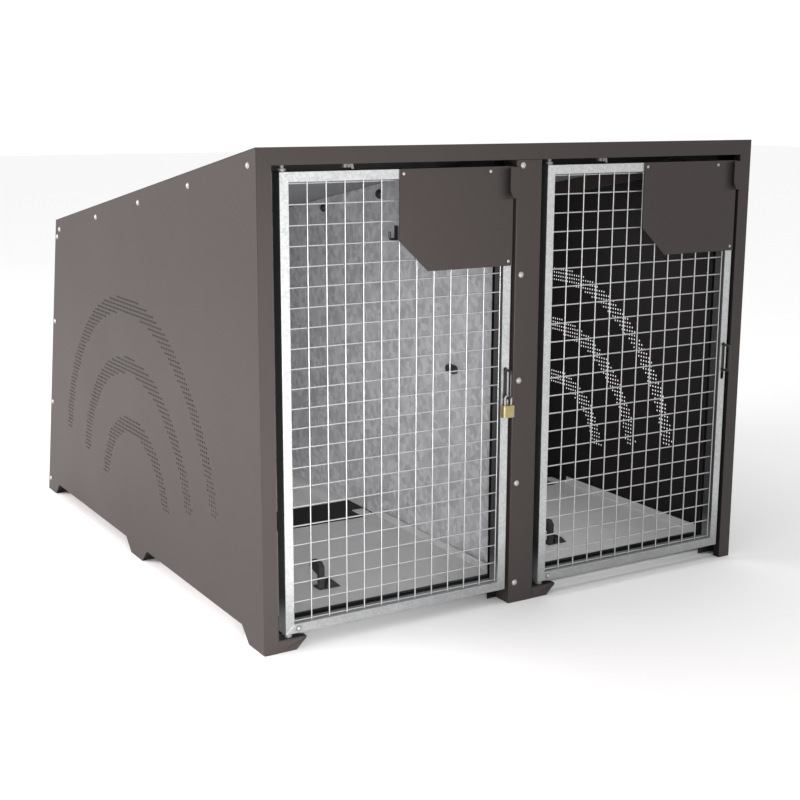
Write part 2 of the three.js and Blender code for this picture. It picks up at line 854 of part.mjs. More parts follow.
// Pin on top of the hinge stile, turning in the hole of the beam's lip
function topPin() {
  const collarLow = fitGap;
  const collarHigh = doorTopGap / 2;
  const top = doorTopGap + sheet + overrun;
  return turned([
    [0, -pinGrip],
    [pinRadius, -pinGrip],
    [pinRadius, collarLow],
    [pinCollarRadius, collarLow],
    [pinCollarRadius, collarHigh],
    [pinRadius, collarHigh],
    [pinRadius, top],
    [0, top],
  ], roundSides);
}

// Wheel holder: a low base with a step and a ramp, and a horn beside them that reaches back
function wheelHolder() {
  const stepEnd = holderStepStart + holderStepWidth;
  const base = plateY([
    [0, 0],
    [holderWidth, 0],
    [stepEnd + holderPeakWidth, holderPeak],
    [stepEnd, holderPeak],
    [stepEnd, holderStep],
    [holderStepStart, holderStep],
    [holderStepStart, holderPlate],
    [0, holderPlate],
  ], 0, holderDepth);
  const horn = plateX([
    [0, 0],
    [hornDepth, 0],
    [hornDepth, hornHeight - hornArm - hornBevel / 2],
    [hornReach, hornHeight - hornArm + hornBevel / 2],
    [hornReach, hornHeight - hornBevel],
    [hornReach - hornBevel, hornHeight],
    [hornBevel, hornHeight],
    [0, hornHeight - hornBevel],
  ], 0, hornWidth);
  return join(base, horn);
}

// Lug with two unequal legs and a screw between them, measured down from the beam's lip
function beamLug() {
  const inner = lugWidth - lugLegWidth;
  const plate = plateY([
    [0, 0],
    [0, -lugShortLeg],
    [lugLegWidth, -lugShortLeg],
    [lugLegWidth, -lugPlate],
    [inner, -lugPlate],
    [inner + lugPlate, -lugLongLeg],
    [lugWidth + lugPlate / 2, -lugLongLeg],
    [lugWidth, 0],
  ], 0, lugDepth);
  const screw = rod(lugScrewRadius, -sheet, lugDepth - sheet, headSides,
    [lugWidth / 2, 0, -lugPlate - lugScrewRadius / 2], new THREE.Vector3(0, 1, 0));
  return join(plate, screw);
}

// Hook that stands off the partition towards the left bay
function wallHook() {
  const plate = block(-hookPlateThickness, 0, -hookPlateWidth / 2, hookPlateWidth / 2, -hookHeight, 0);
  const low = -hookHeight + hookRod;
  const bar = bentRod([
    new THREE.Vector3(-hookPlateThickness / 2, 0, low),
    new THREE.Vector3(-hookReach, 0, low),
    new THREE.Vector3(-hookReach, 0, low + 2 * hookLip),
  ], hookLip / 2, hookRod, bendSteps);
  return join(plate, bar);
}

// Plate with two round eyes for a cable
function lockEye() {
  const half = eyeSpacing / 2;
  const towardsBay = new THREE.Vector3(-1, 0, 0);
  const plate = block(-eyePlateThickness, 0, -half, half, -eyeRadius, eyeRadius);
  const discs = [-half, half].map((y) => rod(
    eyeRadius, 0, eyeHeight, roundSides, [0, y, 0], towardsBay));
  return join(plate, ...discs);
}

// Assembly in a frame whose zero is the left front foot
const locker = new THREE.Group();
const body = new THREE.Group();
body.position.set(-centreX, -middleFootCentre, 0);
locker.add(body);

const leftPanel = sidePanel();
addPiece(body, 'left_side_panel', leftPanel, paint);
addPiece(body, 'right_side_panel', mirrored(leftPanel, overallWidth), paint);
addPiece(body, 'roof_panel', roofPanel(), paint);
addPiece(body, 'rear_panel', rearPanel(), paint);
addPiece(body, 'centre_post', centrePost(), paint, centreX - centrePostFace / 2);
addPiece(body, 'centre_upright', centreUpright(), darkPaint, centreX);
const upright = cornerUpright();
addPiece(body, 'left_corner_upright', upright, galvanised, wallInner);
addPiece(body, 'right_corner_upright', upright.mirror([1, 0, 0]), galvanised, overallWidth - wallInner);
addPiece(body, 'partition_panel', partitionPanel(), galvanised, centreX);
addPiece(body, 'front_sill', frontSill(), darkPaint);
addPiece(body, 'middle_base_channel', middleChannel(), darkPaint);
addPiece(body, 'rear_base_channel', rearChannel(), darkPaint);
const tray = floorTray();
addPiece(body, 'left_floor_tray', tray, galvanised, trayInset);
addPiece(body, 'right_floor_tray', tray, galvanised, centreX + partitionFlange / 2);

for (let i = 0; i < 5; i += 1) {
  const high = openingTop - postBoltTop;
  const z = high + ((postBoltBottom - high) * i) / 4;
  addPiece(body, `centre_bolt_${i + 1}`, dome(
    boltHeadRadius, boltHeadHeight, 0, [0, 0, 0], new THREE.Vector3(0, -1, 0)), steel,
  centreX - centrePostFace / 2 + postBoltInset, -fitGap, z);
}

const partitionFace = centreX - sheet / 2 - fitGap;
sideBoltPlaces().slice(1, 4).forEach(([y, z], i) => {
  addPiece(body, `partition_knob_${i + 1}`, dome(
    wallKnobRadius, wallKnobHeight, 0, [0, 0, 0], new THREE.Vector3(-1, 0, 0)), black, partitionFace, y, z);
});
addPiece(body, 'partition_hook', wallHook(), blackSteel, partitionFace, hookDepthPlace, hookHeightPlace);
addPiece(body, 'partition_eye', lockEye(), black, partitionFace, eyeDepthPlace, eyeHeightPlace);

['left', 'right'].forEach((side, bay) => {
  const bayGroup = new THREE.Group();
  bayGroup.position.set(bayLeft(bay), 0, 0);
  body.add(bayGroup);

  const [pivotX, pivotY] = pivotPlace();
  addPiece(bayGroup, `${side}_bottom_bracket`, bottomBracket(), paint, fitGap);
  addPiece(bayGroup, `${side}_bracket_pad`, bracketPad(), black, fitGap, 0, bracketHeight + fitGap);
  addPiece(bayGroup, `${side}_bottom_pin`, bottomPin(), steel, fitGap + pivotX, pivotY);
  addPiece(bayGroup, `${side}_wheel_holder`, wheelHolder(), black,
    holderOffset, holderStart, skirtHeight + 2 * fitGap + sheet);
  addPiece(bayGroup, `${side}_beam_lug`, beamLug(), steel, lugOffset, lugSetback, openingTop - fitGap);

  const door = new THREE.Group();
  door.position.set(hingeGap, doorSetback, doorBottomGap);
  bayGroup.add(door);
  addPiece(door, `${side}_door_frame`, doorFrame(), galvanised);
  addPiece(door, `${side}_door_mesh`, doorMesh(), wire, tubeWidth + fitGap, wireSetback, tubeWidth + fitGap);
  addPiece(door, `${side}_top_pin`, topPin(), steel, tubeWidth / 2, pivotSetback, doorHeight);
  addPiece(door, `${side}_pivot_screw`, dome(
    boltHeadRadius, boltHeadHeight, 0, [0, 0, 0], new THREE.Vector3(0, -1, 0)), steel,
  pivotScrewInset, -fitGap, tubeWidth / 2);

  const coverX = doorWidth - coverWidth;
  const coverZ = doorHeight - coverHeight;
  const coverY = -fitGap - coverThickness;
  addPiece(door, `${side}_cover_plate`, coverPlate(), paint, coverX, coverY, coverZ);
  addPiece(door, `${side}_pull_tab`, pullTab(), paint,
    doorWidth - tabInboard, -doorSetback, doorHeight - tabTopDrop - tabHeight);

  const loop = new THREE.Group();
  loop.position.set(doorWidth - tubeWidth / 2, 0, loopCentreHeight);
  door.add(loop);
  addPiece(loop, `${side}_latch_loop`, latchLoop(), blackSteel);
  if (side === 'left') {
    const padlock = new THREE.Group();
    padlock.position.set(0, -padlockSetback, -loopHeight / 2);
    loop.add(padlock);
    addPiece(padlock, 'padlock_shackle', padlockShackle(), steel);
    addPiece(padlock, 'padlock_body', padlockBody(), brass, 0, 0, -padlockDrop);
  }
});

export default locker;
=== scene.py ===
"""Low steel bicycle locker: folded panels, mesh doors on pins, latch loops and a padlock."""

import math

import bpy
from mathutils import Matrix, Vector


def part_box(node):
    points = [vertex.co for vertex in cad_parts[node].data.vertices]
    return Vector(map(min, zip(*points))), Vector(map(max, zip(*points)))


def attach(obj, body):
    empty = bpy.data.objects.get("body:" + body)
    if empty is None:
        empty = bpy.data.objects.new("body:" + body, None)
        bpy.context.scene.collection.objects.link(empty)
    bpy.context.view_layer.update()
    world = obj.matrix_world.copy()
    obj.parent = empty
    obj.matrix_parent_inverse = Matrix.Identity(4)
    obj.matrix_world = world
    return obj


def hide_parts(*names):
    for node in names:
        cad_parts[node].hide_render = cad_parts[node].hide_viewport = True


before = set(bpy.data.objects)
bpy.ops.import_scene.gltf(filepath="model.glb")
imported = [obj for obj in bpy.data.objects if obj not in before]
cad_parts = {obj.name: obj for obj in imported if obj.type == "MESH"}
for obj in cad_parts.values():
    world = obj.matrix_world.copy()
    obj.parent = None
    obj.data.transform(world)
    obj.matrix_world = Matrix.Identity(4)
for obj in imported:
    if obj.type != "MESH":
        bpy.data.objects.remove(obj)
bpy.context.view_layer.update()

# ---------------------------------------------------------------- camera and light
# The camera stands to the left of the doors, a little above the roof's front edge. The light
# is that of a white studio with a soft box on the left. Weak lights reach the left door post
# and its foot, the partition and the bays.
camera_position = (-2.1675, -3.8704, 1.3644)
camera_heading, camera_dip, camera_roll = 30.901, 12.229, 0.19
studio_strength = 1.04

camera_data = bpy.data.cameras.new("camera")
camera_data.sensor_width = 36
camera_data.lens = 62.45
camera = bpy.data.objects.new("camera", camera_data)
camera.matrix_world = (
    Matrix.Translation(camera_position)
    @ Matrix.Rotation(math.radians(-camera_heading), 4, "Z")
    @ Matrix.Rotation(math.radians(90 - camera_dip), 4, "X")
    @ Matrix.Rotation(math.radians(camera_roll), 4, "Z"))
bpy.context.scene.collection.objects.link(camera)
bpy.context.scene.camera = camera
bpy.context.scene.view_settings.view_transform = "Standard"

studio = bpy.data.worlds.new("studio")
bpy.context.scene.world = studio
studio.use_nodes = True
studio_light = studio.node_tree.nodes["Background"].inputs
studio_light["Color"].default_value = (1, 1, 1, 1)
studio_light["Strength"].default_value = studio_strength


def soft_light(name, place, target, size, power, spread=180, tint=(1, 1, 1)):
    """A rectangular light that the camera doesn't see, turned to its target."""
    data = bpy.data.lights.new(name, "AREA")
    data.shape = "RECTANGLE"
    data.size, data.size_y = size
    data.energy = power
    data.spread = math.radians(spread)
    data.color = tint
    light = bpy.data.objects.new(name, data)
    turn = (Vector(target) - Vector(place)).to_track_quat("-Z", "Y").to_matrix().to_4x4()
    light.matrix_world = Matrix.Translation(place) @ turn
    light.visible_camera = False
    bpy.context.scene.collection.objects.link(light)


soft_light("left_softbox", place=(-4.9, 1.3, 2.5), target=(-0.8, 0.3, 0.5),
           size=(3.5, 2.5), power=265, tint=(1, 0.9, 0.89))
soft_light("front_key", place=(-0.95, -2.3, 0.6), target=(-0.62, -0.9, 0.86),
           size=(0.9, 0.7), power=5.6, spread=70)
soft_light("foot_key", place=(-1.25, -2.3, 0.35), target=(-0.72, -0.9, 0.12),
           size=(0.7, 0.4), power=3.0, spread=50)
soft_light("partition_glow", place=(-0.68, 0.12, 0.6), target=(0, 0.12, 0.6),
           size=(0.9, 0.7), power=1.35)
for side, x, power in (("left", -0.5, 0.8), ("right", 0.3, 3.6)):
    soft_light(f"{side}_bay_glow", place=(x, -0.55, 1.03), target=(x + 0.15, -0.2, 0.1),
               size=(0.4, 0.25), power=power)

# ---------------------------------------------------------------- side walls
# Folded steel sheet with a fine textured powder coat in a warm grey-brown. Each wall turns
# round the front corner as the door post, and has round holes punched on a square grid
# inside the outline of nested ripples.
half_width = 0.784
front_face = -0.9036
sheet_thickness = 0.002
fold_radius = 0.0026
hairline = 0.0001
merge_distance = 0.00002

hole_radius = 0.0035
hole_pitch = 0.0125
punch_length = 0.02
ripple_centre = (-0.0035, 0.1505)
ripple_radii = (0.2597, 0.4398, 0.6198)
ripple_band = 0.05
ripple_span = math.radians(77.4)
grid_reach = 0.7
patch_length, patch_height, patch_middle = 1.36, 0.7, 0.47

coat_deep = (0.033, 0.0260, 0.0245, 1)
coat_light = (0.038, 0.0300, 0.0284, 1)
coat_in_shade = (0.004, 0.0035, 0.003, 1)


class Sum:
    """A socket of a finish, whose sums become Math nodes."""

    def __init__(self, finish, socket):
        self.finish = finish
        self.socket = socket

    def _with(self, operation, first, second):
        return self.finish.node("ShaderNodeMath", {"operation": operation}, {0: first, 1: second})

    def __add__(self, other):
        return self._with("ADD", self, other)

    __radd__ = __add__

    def __sub__(self, other):
        return self._with("SUBTRACT", self, other)

    def __rsub__(self, other):
        return self._with("SUBTRACT", other, self)

    def __mul__(self, other):
        return self._with("MULTIPLY", self, other)

    __rmul__ = __mul__


class Finish:
    """A material round one Principled shader."""

    def __init__(self, name, **constants):
        self.material = bpy.data.materials.new(name)
        self.material.use_nodes = True
        self.tree = self.material.node_tree
        self.shader = self.tree.nodes["Principled BSDF"]
        for socket, value in constants.items():
            self.shader.inputs[self.label(socket)].default_value = value
        self.place = self.node("ShaderNodeTexCoord", {}, {}, "Object")

    @staticmethod
    def label(socket):
        return socket.replace("_", " ").title().replace("Ior", "IOR")

    def node(self, kind, settings, sockets, output=0):
        """One node: its settings first, then the values or links of its sockets."""
        made = self.tree.nodes.new(kind)
        for key, value in settings.items():
            if key == "stops":
                elements = made.color_ramp.elements
                while len(elements) < len(value):
                    elements.new(1)
                for element, (position, grey) in zip(elements, value):
                    element.position = position
                    element.color = (grey, grey, grey, 1)
            else:
                setattr(made, key, value)
        for key, value in sockets.items():
            if isinstance(value, Sum):
                self.tree.links.new(value.socket, made.inputs[key])
            else:
                made.inputs[key].default_value = value
        return Sum(self, made.outputs[output])

    def along(self, axis):
        """Where a point lies along an axis."""
        return self.node("ShaderNodeSeparateXYZ", {}, {0: self.place}, axis)

    def faces(self, axis):
        """How far the surface faces along an axis."""
        normal = self.node("ShaderNodeTexCoord", {}, {}, "Normal")
        return self.node("ShaderNodeSeparateXYZ", {}, {0: normal}, axis)

    def slope(self, value, start, end, low=0.0, high=1.0):
        """Runs softly from low to high while the value goes from start to end."""
        return self.node("ShaderNodeMapRange", {"interpolation_type": "SMOOTHSTEP"}, {
            "Value": value, "From Min": start, "From Max": end, "To Min": low, "To Max": high})

    def ramp(self, value, *stops):
        """A grey that runs straight from stop to stop."""
        return self.node("ShaderNodeValToRGB", {"stops": stops}, {0: value})

    def noise(self, scale, detail=3.0, place=None, output=0):
        return self.node("ShaderNodeTexNoise", {}, {
            "Vector": place or self.place, "Scale": scale, "Detail": detail}, output)

    def mix(self, share, first, second, blend="MIX"):
        return self.node("ShaderNodeMix", {"data_type": "RGBA", "blend_type": blend}, {
            0: share, 6: first, 7: second}, 2)

    def feed(self, **links):
        """Links what changes over the surface to the shader."""
        for socket, value in links.items():
            self.tree.links.new(value.socket, self.shader.inputs[self.label(socket)])

    def bump(self, height, strength, distance):
        self.feed(normal=self.node("ShaderNodeBump", {}, {
            "Height": height, "Strength": strength, "Distance": distance}))


def powder_coat(name, shade=None, shaded=None, deep=coat_deep, light=coat_light, gloss=0.3):
    """Fine-textured paint: a pebbled surface with faint cloudy tones and duller patches.
    Where the shade mask rises, the paint takes painted shade: the shaded tone, which is dark
    unless it is given."""
    finish = Finish(name, metallic=0.0, roughness=0.5, specular_ior_level=gloss)
    cloud = finish.noise(scale=3.1, detail=4.0)
    grain = finish.noise(scale=900.0, detail=2.0)
    colour = finish.mix(cloud * 0.7 + grain * 0.3, deep, light)
    if shade:
        dark = shade(finish)
        finish.feed(
            base_color=finish.mix(dark, colour, shaded(finish) if shaded else coat_in_shade),
            roughness=cloud * 0.12 + dark * 0.4 + 0.4)
    else:
        finish.feed(base_color=colour, roughness=cloud * 0.12 + grain * 0.1 + 0.36)
    finish.bump(grain, strength=0.35, distance=0.0003)
    return finish.material


def only(*pieces):
    """Selects just these pieces, and makes the first one active."""
    bpy.ops.object.select_all(action="DESELECT")
    for piece in pieces:
        piece.select_set(True)
    bpy.context.view_layer.objects.active = pieces[0]


def settle(*pieces):
    """Puts each piece's place, turn and size into its mesh."""
    only(*pieces)
    bpy.ops.object.transform_apply(location=True, rotation=True, scale=True)


def clean_copy(name, node, flat=True, merge=merge_distance):
    """The shape of a CAD node as a new piece, its doubles merged and its flat faces whole."""
    piece = bpy.data.objects.new(name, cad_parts[node].data.copy())
    bpy.context.scene.collection.objects.link(piece)
    only(piece)
    bpy.ops.mesh.customdata_custom_splitnormals_clear()
    bpy.ops.object.mode_set(mode="EDIT")
    bpy.ops.mesh.select_all(action="SELECT")
    bpy.ops.mesh.remove_doubles(threshold=merge)
    if flat:
        bpy.ops.mesh.dissolve_limited(angle_limit=math.radians(0.5))
    bpy.ops.object.mode_set(mode="OBJECT")
    return piece


def pick_points(piece, chosen):
    """Edit mode, with just the points selected whose place passes the test."""
    only(piece)
    bpy.ops.object.mode_set(mode="EDIT")
    bpy.ops.mesh.select_mode(type="VERT")
    bpy.ops.mesh.select_all(action="DESELECT")
    bpy.ops.object.mode_set(mode="OBJECT")
    for vertex in piece.data.vertices:
        vertex.select = chosen(vertex.co)
    bpy.ops.object.mode_set(mode="EDIT")


def round_edges(piece, radius, segments, chosen):
    """Rounds the sharp edges whose two ends pass the test."""
    only(piece)
    bpy.ops.object.mode_set(mode="EDIT")
    bpy.ops.mesh.select_mode(type="EDGE")
    bpy.ops.mesh.select_all(action="DESELECT")
    bpy.ops.mesh.edges_select_sharp(sharpness=math.radians(25))
    bpy.ops.object.mode_set(mode="OBJECT")
    vertices = piece.data.vertices
    picked = [edge.index for edge in piece.data.edges
              if edge.select and chosen(*(vertices[i].co for i in edge.vertices))]
    bpy.ops.object.mode_set(mode="EDIT")
    bpy.ops.mesh.select_all(action="DESELECT")
    bpy.ops.object.mode_set(mode="OBJECT")
    for index in picked:
        piece.data.edges[index].select = True
    bpy.ops.object.mode_set(mode="EDIT")
    bpy.ops.mesh.bevel(offset=radius, segments=segments, affect="EDGES")
    bpy.ops.object.mode_set(mode="OBJECT")


def front_fold(a, b):
    """Whether an edge is a long one in the front face of the cabinet."""
    return max(a.y, b.y) < front_face + hairline and (a - b).length > 0.5


def combine(piece, operation, tool):
    """A boolean of two closed pieces; the tool is used up."""
    only(piece)
    change = piece.modifiers.new("combine", "BOOLEAN")
    change.operation = operation
    change.object = tool
    change.solver = "MANIFOLD"
    bpy.ops.object.modifier_apply(modifier=change.name)
    bpy.data.objects.remove(tool)


def joined(name, pieces):
    """Several pieces as one object with its place in its mesh."""
    settle(*pieces)
    if len(pieces) > 1:
        bpy.ops.object.join()
    whole = bpy.context.object
    whole.name = name
    return whole


def twin(piece, place, turn=None):
    """A copy with its own mesh, moved and turned."""
    other = piece.copy()
    other.data = piece.data.copy()
    other.matrix_world = Matrix.Translation(place) @ (turn or Matrix.Identity(4))
    bpy.context.scene.collection.objects.link(other)
    return other


def finished(piece, material, body, slot, *nodes, smooth=30):
    """Shades a piece, gives it its finish, and hangs it on its body in place of its CAD nodes."""
    only(piece)
    bpy.ops.object.shade_smooth_by_angle(angle=math.radians(smooth))
    flat = piece.modifiers.new("flat_faces", "WEIGHTED_NORMAL")
    flat.keep_sharp = True
    bpy.ops.object.modifier_apply(modifier=flat.name)
    piece.data.materials.clear()
    piece.data.materials.append(material)
    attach(piece, body)
    if nodes:
        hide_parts(*nodes)


for side, sign in (("left", -1), ("right", 1)):
    outer = sign * half_width
    wall = clean_copy(f"{side}_side_wall", f"{side}_side_panel", flat=False)

    # The panel's own bolt heads come off. Rounder ones are put on further down.
    pick_points(wall, lambda place: abs(place.x) > half_width + hairline)
    bpy.ops.mesh.delete(type="VERT")
    bpy.ops.mesh.select_all(action="SELECT")
    bpy.ops.mesh.fill_holes(sides=0)
    bpy.ops.object.mode_set(mode="OBJECT")
    round_edges(wall, radius=fold_radius, segments=3, chosen=lambda a, b: (
        front_fold(a, b) and abs(a.x - outer) < hairline))

    # A patch closes the panel's long slots, and the round holes are punched through it.
    middle = outer - sign * sheet_thickness / 2
    bpy.ops.mesh.primitive_cube_add(size=1, location=(middle, ripple_centre[0], patch_middle))
    patch = bpy.context.object
    patch.scale = (sheet_thickness, patch_length, patch_height)
    settle(patch)
    combine(wall, "UNION", patch)

    bpy.ops.mesh.primitive_cylinder_add(
        vertices=8, radius=hole_radius, depth=punch_length, rotation=(0, math.pi / 2, 0))
    punch = bpy.context.object
    settle(punch)
    punches = []
    steps = int(grid_reach / hole_pitch)
    for i in range(-steps, steps + 1):
        for j in range(steps + 1):
            y, z = i * hole_pitch, j * hole_pitch
            reach, angle = math.hypot(y, z), math.atan2(y, z)
            if abs(angle) < ripple_span and any(
                    abs(reach - radius) < ripple_band / 2 for radius in ripple_radii):
                place = (middle, ripple_centre[0] + y, ripple_centre[1] + z)
                punches.append(twin(punch, place))
    bpy.data.objects.remove(punch)
    combine(wall, "DIFFERENCE", joined("punches", punches))

    # The inner face, which looks into the bay, has painted shade: the coat turns near black there.
    wall_coat = powder_coat(f"{side}_wall_coat", lambda finish: finish.slope(
        finish.faces("X") * -sign, 0.5, 0.8, 0, 0.85))
    finished(wall, wall_coat, "cabinet", "paint", f"{side}_side_panel")

# ---------------------------------------------------------------- roof, rear wall, centre post
# The roof is one sheet that folds down in front as the beam. Its underside has painted light, a
# light grey, over the bays and painted shade behind the beam. The centre post is a folded channel.
# All have the walls' powder coat, and the stop plate, the sill and the base channels have it with
# painted shade, near black.
roof_height = 1.2545
roof_fold_radius = 0.0018
behind_beam = (-0.872, -0.870)
ceiling_start = (-0.475, -0.445)
painted_ceiling_light = (0.23, 0.23, 0.24, 1)


def longer_than(length):
    """A test for edges that are longer than this."""
    return lambda a, b: (a - b).length > length


def underside(finish):
    """Mask of the underside's painted light and shade: what faces down, behind the beam."""
    return (finish.slope(finish.faces("Z"), -0.5, -0.8)
            * finish.slope(finish.along("Y"), *behind_beam))


def ceiling(finish):
    """Painted shade over the gap behind the beam, and painted light over the bays."""
    return finish.mix(
        finish.slope(finish.along("Y"), *ceiling_start), coat_in_shade, painted_ceiling_light)


# Points that lie close together behind the top fold become one, so that the fold rounds well.
roof = clean_copy("roof_sheet", "roof_panel")
pick_points(roof, lambda place: (
    abs(place.y - front_face - sheet_thickness) < hairline and place.z > roof_height - 0.001))
bpy.ops.mesh.remove_doubles(threshold=0.0008)
bpy.ops.object.mode_set(mode="OBJECT")
round_edges(roof, radius=roof_fold_radius, segments=3, chosen=front_fold)
finished(roof, powder_coat("roof_coat", underside, ceiling), "cabinet", "paint", "roof_panel")

paint = powder_coat("powder_coat")
post = clean_copy("middle_post", "centre_post")
round_edges(post, radius=fold_radius, segments=3, chosen=front_fold)
finished(post, paint, "cabinet", "paint", "centre_post")

rear = clean_copy("rear_wall", "rear_panel")
round_edges(rear, radius=0.0012, segments=2, chosen=longer_than(0.9))
finished(rear, paint, "cabinet", "paint", "rear_panel")

# The shaded powder coat is the walls' coat with painted shade: near black, for parts that lie in
# shade.
dark_paint = powder_coat(
    "shaded_powder_coat", deep=(0.005, 0.0045, 0.004, 1), light=(0.008, 0.007, 0.0065, 1),
    gloss=0.12)
# The folds of the middle base channel stay sharp.
for node in ("centre_upright", "front_sill", "rear_base_channel", "middle_base_channel"):
    part = clean_copy(f"folded_{node}", node)
    if node != "middle_base_channel":
        round_edges(part, radius=0.0009, segments=2, chosen=longer_than(0.1))
    finished(part, dark_paint, "cabinet", "dark_paint", node)

# ---------------------------------------------------------------- round-headed bolts
# M8 coach bolts, zinc plated, with plain domed heads: along the roof and rear edges of both
# walls, and down the centre post.
bolt_radius, bolt_dome = 0.0085, 0.005
head_rim = 0.0003
roof_fall = 281.7 / 1554.3
rear_lean = 236.9 / 972.8
base_depth = 1.7912
bolt_end = 0.044
post_bolts = 5
roof_bolts, last_roof_bolt, roof_bolt_drop = 5, 1.5193, 0.035
rear_bolts, top_rear_bolt, rear_bolt_inset = 4, 0.9182, 0.021


def plated_steel(name, colour, rough, metallic=0.45):
    """Dull plated metal with small clouds in its tone and gloss."""
    finish = Finish(name, metallic=metallic, roughness=rough)
    cloud = finish.noise(scale=160.0, detail=3.0)
    darker = [value * 0.86 for value in colour]
    finish.feed(base_color=finish.mix(cloud, (*darker, 1), (*colour, 1)),
                roughness=cloud * 0.16 + (rough - 0.06))
    finish.bump(finish.noise(scale=700.0, detail=2.0), strength=0.15, distance=0.0002)
    return finish.material


def domed_head(radius, dome, segments=20):
    """A domed head on a thin rim, its flat underside at z 0."""
    ball = (radius * radius + dome * dome) / (2 * dome)
    bpy.ops.mesh.primitive_uv_sphere_add(
        segments=segments, ring_count=36, radius=ball, location=(0, 0, dome - ball))
    head = bpy.context.object
    settle(head)
    bpy.ops.object.mode_set(mode="EDIT")
    bpy.ops.mesh.select_all(action="SELECT")
    bpy.ops.mesh.bisect(
        plane_co=(0, 0, head_rim), plane_no=(0, 0, 1), clear_inner=True, use_fill=True)
    bpy.ops.mesh.select_all(action="DESELECT")
    bpy.ops.object.mode_set(mode="OBJECT")
    for face in head.data.polygons:
        face.select = face.normal.z < -0.9
    bpy.ops.object.mode_set(mode="EDIT")
    bpy.ops.mesh.extrude_region_move(TRANSFORM_OT_translate={"value": (0, 0, -head_rim)})
    bpy.ops.object.mode_set(mode="OBJECT")
    return head


def facing(direction):
    """The turn that points a head this way."""
    return Vector(direction).to_track_quat("Z", "Y").to_matrix().to_4x4()


def seated(head, node):
    """A copy of a head in the place of a CAD node's, its rim sunk in what carries it."""
    low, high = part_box(node)
    place = ((low.x + high.x) / 2, high.y + head_rim, (low.z + high.z) / 2)
    return twin(head, place, facing((0, -1, 0)))


plated = plated_steel("zinc_plated_steel", (0.40, 0.375, 0.36), rough=0.36)
bolt_head = domed_head(bolt_radius, bolt_dome)
edge_bolts = []
for i in range(roof_bolts):
    depth = bolt_end + i * (last_roof_bolt - bolt_end) / (roof_bolts - 1)
    edge_bolts.append((depth + front_face, roof_height - roof_fall * depth - roof_bolt_drop))
for i in range(rear_bolts):
    z = top_rear_bolt + i * (bolt_end - top_rear_bolt) / (rear_bolts - 1)
    edge_bolts.append((base_depth - rear_lean * z - rear_bolt_inset + front_face, z))
for side, sign in (("left", -1), ("right", 1)):
    heads = [twin(bolt_head, (sign * half_width, y, z), facing((sign, 0, 0)))
             for y, z in edge_bolts]
    finished(joined(f"{side}_edge_bolts", heads), plated, "cabinet", "steel", smooth=40)
for i in range(1, post_bolts + 1):
    head = joined(f"post_bolt_{i}", [seated(bolt_head, f"centre_bolt_{i}")])
    finished(head, plated, "cabinet", "steel", f"centre_bolt_{i}", smooth=40)
bpy.data.objects.remove(bolt_head)

# ---------------------------------------------------------------- galvanised sheet inside
# Hot-dip galvanised sheet with a light spangle: the partition between the bays, the corner
# angles and the floor trays. Each has painted shade where the roof, the posts or the sill shade
# it, and the corner angles are painted lighter at the foot.
partition_shade = (1.166, 1.178)
tray_edge = (-0.771, -0.7706)
zinc_dark, zinc_light = (0.5, 0.5, 0.51, 1), (0.8, 0.8, 0.81, 1)


def galvanised_finish(name, dark, light, flake_scale, rough, metallic, shade):
    """Zinc flakes of many tones under soft clouds, darkened by painted shade as the shade mask
    says.
    """
    finish = Finish(name, metallic=metallic, roughness=rough)
    sway = 0.3 / flake_scale
    warp = finish.node("ShaderNodeVectorMath", {"operation": "MULTIPLY_ADD"}, {
        0: finish.noise(flake_scale * 0.6, detail=2.0, output=1),
        1: (sway, sway, sway), 2: finish.place})
    flakes = finish.node(
        "ShaderNodeTexVoronoi", {}, {"Vector": warp, "Scale": flake_scale}, "Color")
    flake = finish.node("ShaderNodeSeparateColor", {}, {"Color": flakes})
    cloud = finish.noise(scale=9.0, detail=4.0)
    grain = finish.noise(scale=flake_scale * 5, detail=3.0)
    zinc = finish.mix(flake * 0.38 + cloud * 0.34 + grain * 0.28, dark, light)
    finish.feed(base_color=finish.mix(1.0, zinc, shade(finish), "MULTIPLY"),
                roughness=flake * 0.14 + grain * 0.1 + (rough - 0.12))
    finish.bump(flake * 0.4 + grain * 0.6, strength=0.2, distance=0.0004)
    return finish.material


def under_roof(finish):
    """Painted shade along the top, close under the roof, and none below."""
    return finish.slope(finish.along("Z"), *partition_shade, 1, 0.02)


def behind_edge(finish):
    """Painted shade along a tray's front edge, and none behind it."""
    return finish.slope(finish.along("Y"), *tray_edge, 0.012)


def lit_foot(brightness):
    """Painted light and shade by height: as bright as this at the foot, and dark above it."""
    return lambda finish: finish.ramp(
        finish.along("Z"), (0.05, brightness), (0.11, 0.03), (1, 0.012))


spangle = galvanised_finish(
    "spangled_sheet", (0.34, 0.34, 0.36, 1), (0.90, 0.90, 0.92, 1),
    flake_scale=55.0, rough=0.5, metallic=0.35, shade=under_roof)
tray_zinc = galvanised_finish(
    "floor_sheet", (0.54, 0.54, 0.54, 1), (0.64, 0.64, 0.64, 1),
    flake_scale=70.0, rough=0.55, metallic=0.2, shade=behind_edge)
shaded_zinc = galvanised_finish(
    "shaded_zinc", zinc_dark, zinc_light,
    flake_scale=90.0, rough=0.45, metallic=0.3, shade=lit_foot(1))
deep_shaded_zinc = galvanised_finish(
    "deep_shaded_zinc", zinc_dark, zinc_light,
    flake_scale=90.0, rough=0.45, metallic=0.3, shade=lit_foot(0.045))

# The partition has a step of 0.02 mm, which the usual merge would close.
partition = clean_copy("zinc_partition_panel", "partition_panel", flat=False, merge=0.000001)
finished(partition, spangle, "cabinet", "galvanised", "partition_panel")
for node, zinc in (
        ("left_corner_upright", shaded_zinc), ("right_corner_upright", deep_shaded_zinc),
        ("left_floor_tray", tray_zinc), ("right_floor_tray", tray_zinc)):
    part = clean_copy(f"zinc_{node}", node)
    round_edges(part, radius=0.0008, segments=2, chosen=longer_than(0.1))
    finished(part, zinc, "cabinet", "galvanised", node)

